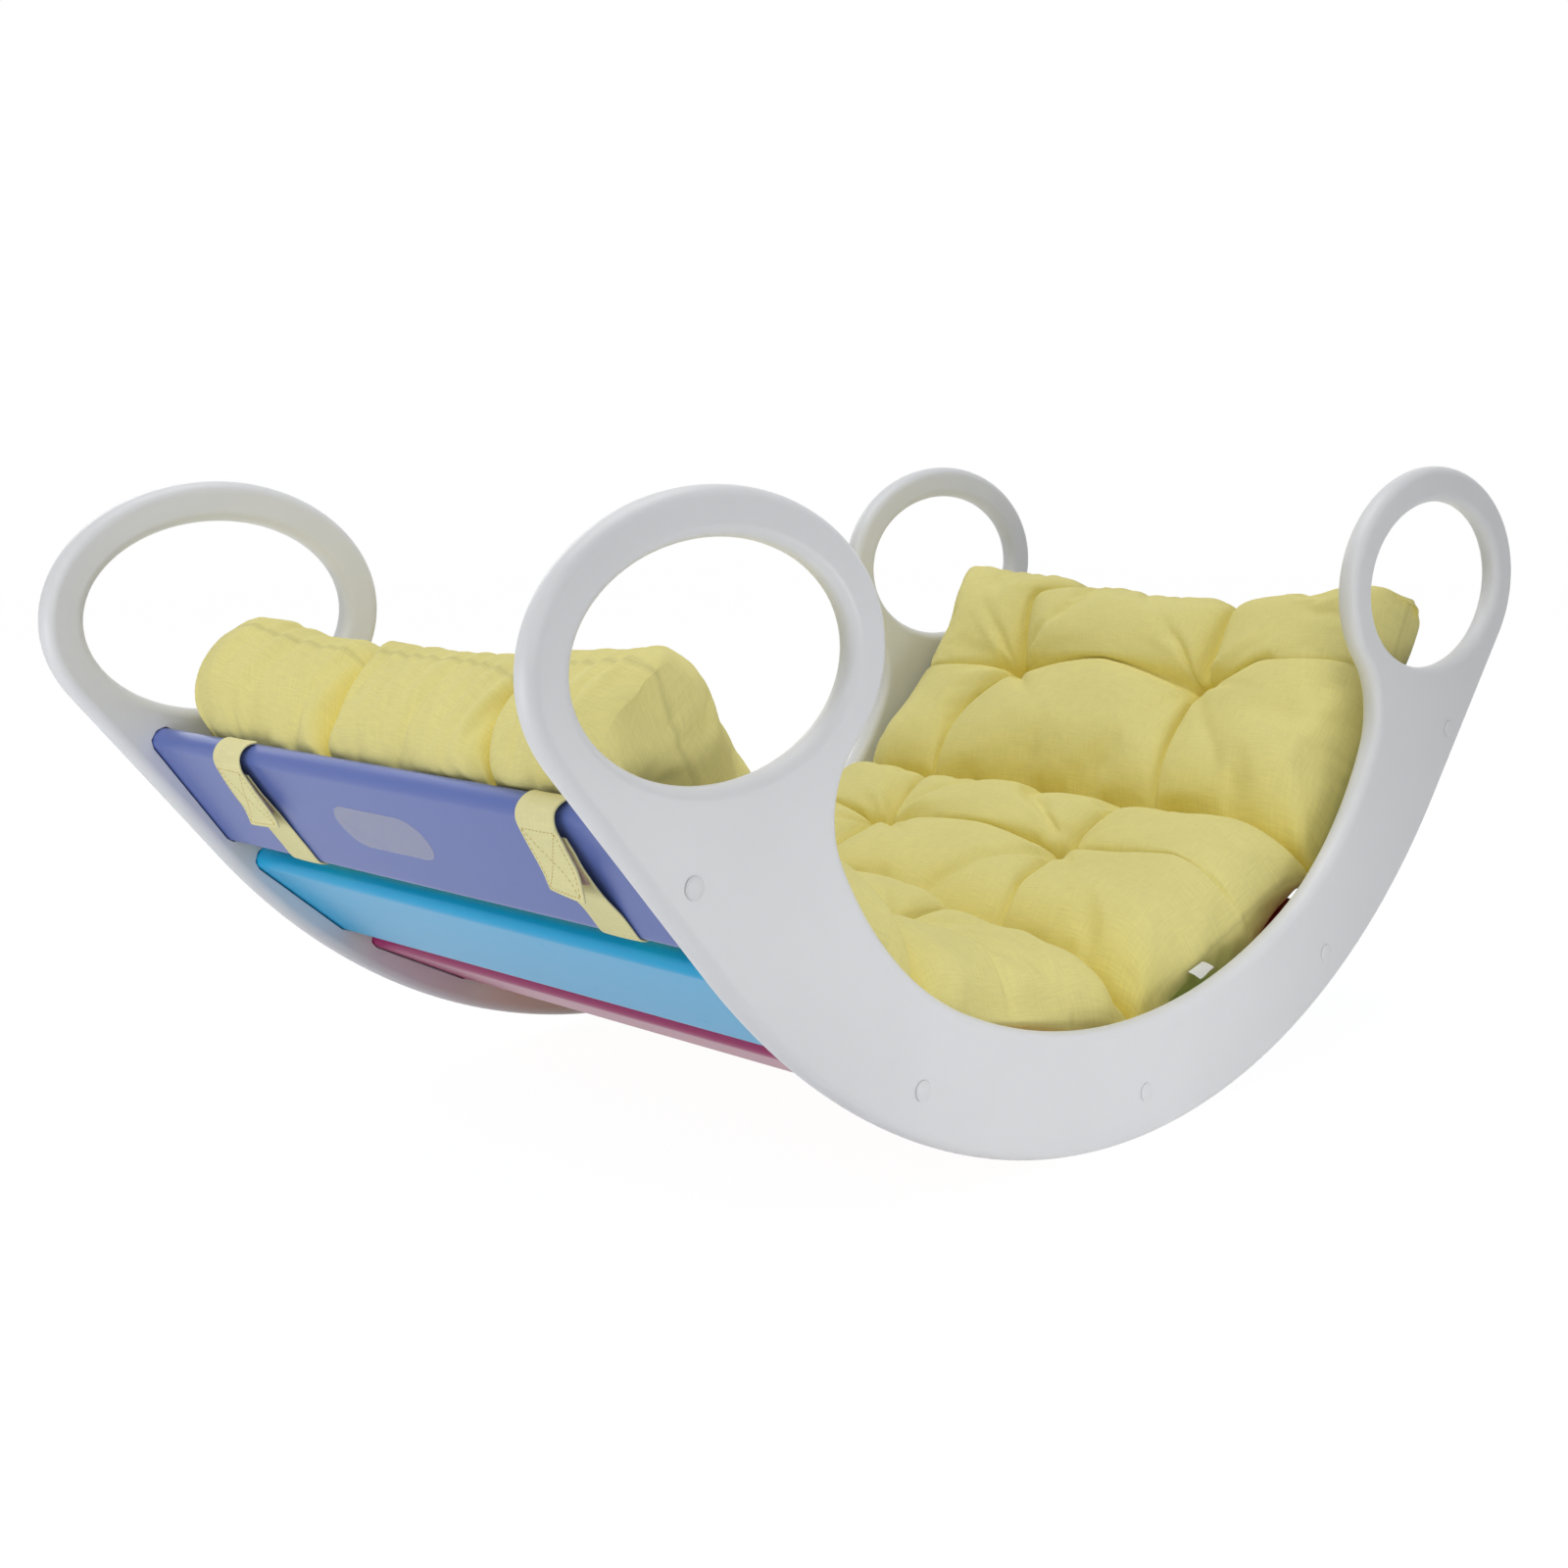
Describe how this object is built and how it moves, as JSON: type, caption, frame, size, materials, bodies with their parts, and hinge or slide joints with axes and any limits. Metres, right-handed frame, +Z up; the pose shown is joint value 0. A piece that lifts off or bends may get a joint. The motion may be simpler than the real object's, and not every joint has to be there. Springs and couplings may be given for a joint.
{
  "type": "climbing arch",
  "caption": "Rocking climbing arch for a child: two curved side boards with ring handles, coloured slats between them, and a tufted mattress strapped to the end slats.",
  "frame": {"origin": "on the floor, under the middle of the arch, where the two rocking edges stand", "axes": "+X along the arch from one pair of ring handles to the other, +Y from the front side board to the rear one, +Z up"},
  "size_m": [1.0934, 0.5576, 0.4745],
  "materials": {
    "white_paint": "satin white paint on board",
    "violet_blue_paint": "satin paint on board",
    "sky_blue_paint": "satin paint on board",
    "magenta_paint": "satin paint on board",
    "orange_paint": "satin paint on board",
    "yellow_paint": "satin paint on board",
    "green_paint": "satin paint on board",
    "red_paint": "satin paint on board",
    "screw_steel": "zinc-plated steel",
    "cap_plastic": "moulded white plastic",
    "pad_cotton": "pale lemon cotton",
    "strap_cotton": "pale lemon cotton, stitched",
    "hook_tape": "woven hook tape",
    "tag_cloth": "blank white woven tag"
  },
  "bodies": {
    "arch": {"side_board_front": "white_paint", "side_board_rear": "white_paint", "slat_1": "violet_blue_paint", "slat_2": "sky_blue_paint", "slat_3": "magenta_paint", "slat_4": "orange_paint", "slat_5": "yellow_paint", "slat_6": "green_paint", "slat_7": "red_paint", "slat_8": "sky_blue_paint", "slat_9": "violet_blue_paint", "connector_screw_front_1": "screw_steel", "connector_screw_front_2": "screw_steel", "connector_screw_front_3": "screw_steel", "connector_screw_front_4": "screw_steel", "connector_screw_front_5": "screw_steel", "connector_screw_rear_1": "screw_steel", "connector_screw_rear_2": "screw_steel", "connector_screw_rear_3": "screw_steel", "connector_screw_rear_4": "screw_steel", "connector_screw_rear_5": "screw_steel", "screw_cap_front_1": "cap_plastic", "screw_cap_front_2": "cap_plastic", "screw_cap_front_3": "cap_plastic", "screw_cap_front_4": "cap_plastic", "screw_cap_front_5": "cap_plastic", "screw_cap_rear_1": "cap_plastic", "screw_cap_rear_2": "cap_plastic", "screw_cap_rear_3": "cap_plastic", "screw_cap_rear_4": "cap_plastic", "screw_cap_rear_5": "cap_plastic", "mattress_pad_1": "pad_cotton", "mattress_pad_2": "pad_cotton", "mattress_pad_3": "pad_cotton", "mattress_pad_4": "pad_cotton", "care_tag": "tag_cloth", "strap_root_left_front": "strap_cotton", "strap_root_left_rear": "strap_cotton", "strap_root_right_front": "strap_cotton", "strap_root_right_rear": "strap_cotton", "strap_tail_left_front": "strap_cotton", "strap_tail_left_rear": "strap_cotton", "strap_tail_right_front": "strap_cotton", "strap_tail_right_rear": "strap_cotton"},
    "flap_left_front": {"strap_flap_left_front": "strap_cotton", "hook_tape_left_front": "hook_tape"},
    "flap_left_rear": {"strap_flap_left_rear": "strap_cotton", "hook_tape_left_rear": "hook_tape"},
    "flap_right_front": {"strap_flap_right_front": "strap_cotton", "hook_tape_right_front": "hook_tape"},
    "flap_right_rear": {"strap_flap_right_rear": "strap_cotton", "hook_tape_right_rear": "hook_tape"}
  },
  "joints": [
    {"name": "open_flap_left_front", "type": "hinge", "parent": "arch", "child": "flap_left_front", "pos_m": [-0.4711, -0.187, 0.2764], "axis": [0, 1, 0], "range_deg": [0, 110]},
    {"name": "open_flap_left_rear", "type": "hinge", "parent": "arch", "child": "flap_left_rear", "pos_m": [-0.4711, 0.153, 0.2764], "axis": [0, 1, 0], "range_deg": [0, 110]},
    {"name": "open_flap_right_front", "type": "hinge", "parent": "arch", "child": "flap_right_front", "pos_m": [0.4711, -0.187, 0.2764], "axis": [0, -1, 0], "range_deg": [0, 110]},
    {"name": "open_flap_right_rear", "type": "hinge", "parent": "arch", "child": "flap_right_rear", "pos_m": [0.4711, 0.153, 0.2764], "axis": [0, -1, 0], "range_deg": [0, 110]}
  ]
}
